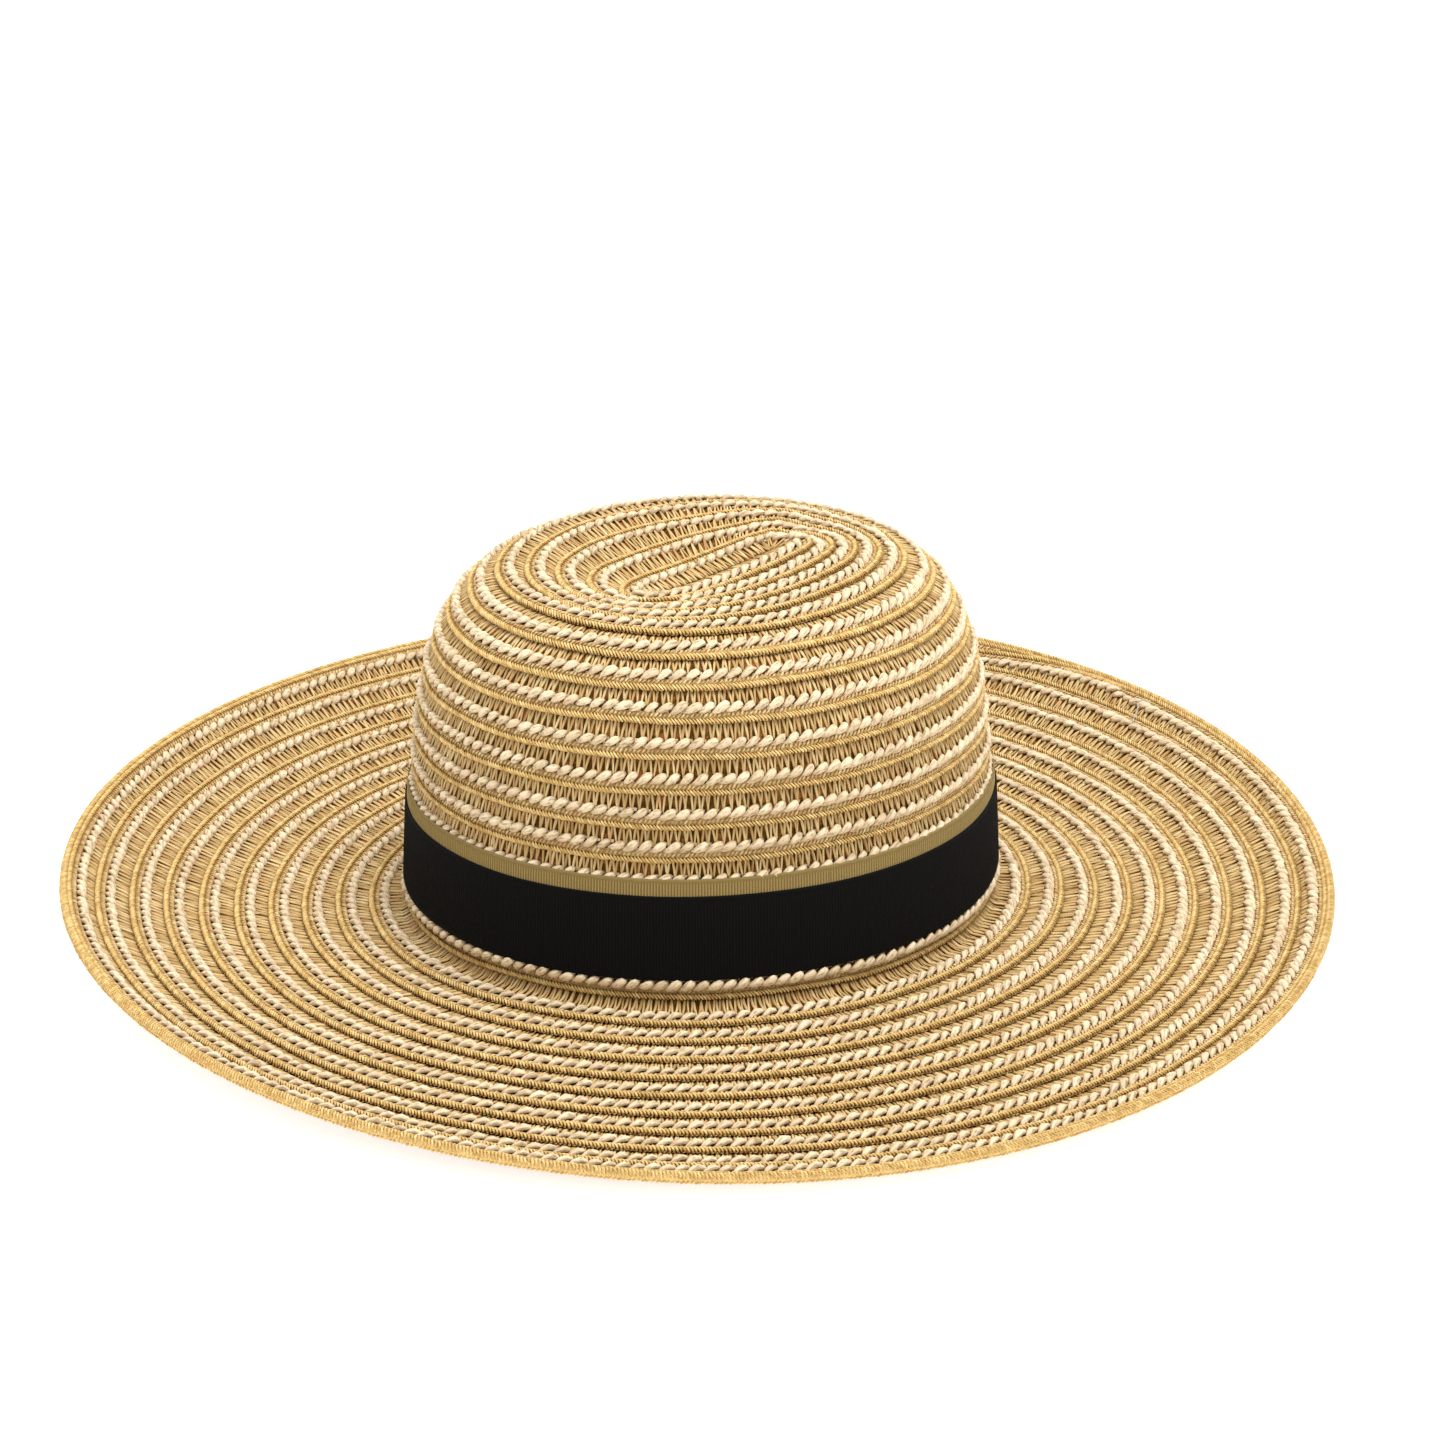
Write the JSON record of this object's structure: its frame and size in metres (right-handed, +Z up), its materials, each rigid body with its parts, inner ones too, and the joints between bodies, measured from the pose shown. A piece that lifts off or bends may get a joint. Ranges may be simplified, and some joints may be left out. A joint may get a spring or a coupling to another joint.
{
  "type": "sun hat",
  "caption": "Wide-brimmed straw sun hat: a spirally sewn two-tone braid with a rounded oval crown, a black ribbon band over a khaki one, a sweatband and a wired brim edge.",
  "frame": {"origin": "on the surface the hat lies on, under the middle of the brim's outline", "axes": "+Z up through the crown's tip; the wearer faces -Y, the wearer's left is +X, and the long axis of the head oval runs along Y"},
  "size_m": [0.4192, 0.4184, 0.1242],
  "materials": {
    "straw_braid": "matt paper-straw braid, gold, tan and cream yarns",
    "black_ribbon": "matt ribbed grosgrain",
    "khaki_ribbon": "matt ribbed grosgrain",
    "sweatband": "soft woven cotton strip",
    "thread": "twisted sewing thread",
    "edge_wire": "drawn spring wire",
    "joiner": "crimped sleeve",
    "clear_plastic": "clear nylon filament"
  },
  "bodies": {
    "root": {"crown_start_fold": "straw_braid", "crown_tip_row_1": "straw_braid", "crown_tip_row_2": "straw_braid", "crown_tip_row_3": "straw_braid", "crown_tip_row_4": "straw_braid", "crown_shoulder_row_1": "straw_braid", "crown_shoulder_row_2": "straw_braid", "crown_shoulder_row_3": "straw_braid", "crown_side_row_1": "straw_braid", "crown_side_row_2": "straw_braid", "crown_side_row_3": "straw_braid", "crown_side_row_4": "straw_braid", "crown_side_row_5": "straw_braid", "crown_side_row_6": "straw_braid", "crown_side_row_7": "straw_braid", "crown_turn_row": "straw_braid", "brim_row_1": "straw_braid", "brim_row_2": "straw_braid", "brim_row_3": "straw_braid", "brim_row_4": "straw_braid", "brim_row_5": "straw_braid", "brim_row_6": "straw_braid", "brim_row_7": "straw_braid", "brim_row_8": "straw_braid", "brim_row_9": "straw_braid", "brim_edge_row": "straw_braid", "edge_wire": "edge_wire", "edge_wire_joiner": "joiner", "khaki_ribbon": "khaki_ribbon", "black_ribbon": "black_ribbon", "sweatband": "sweatband", "sweatband_stitching": "thread", "crown_row_stitching": "thread", "brim_row_stitching": "thread", "tag_fastener": "clear_plastic"}
  },
  "joints": []
}
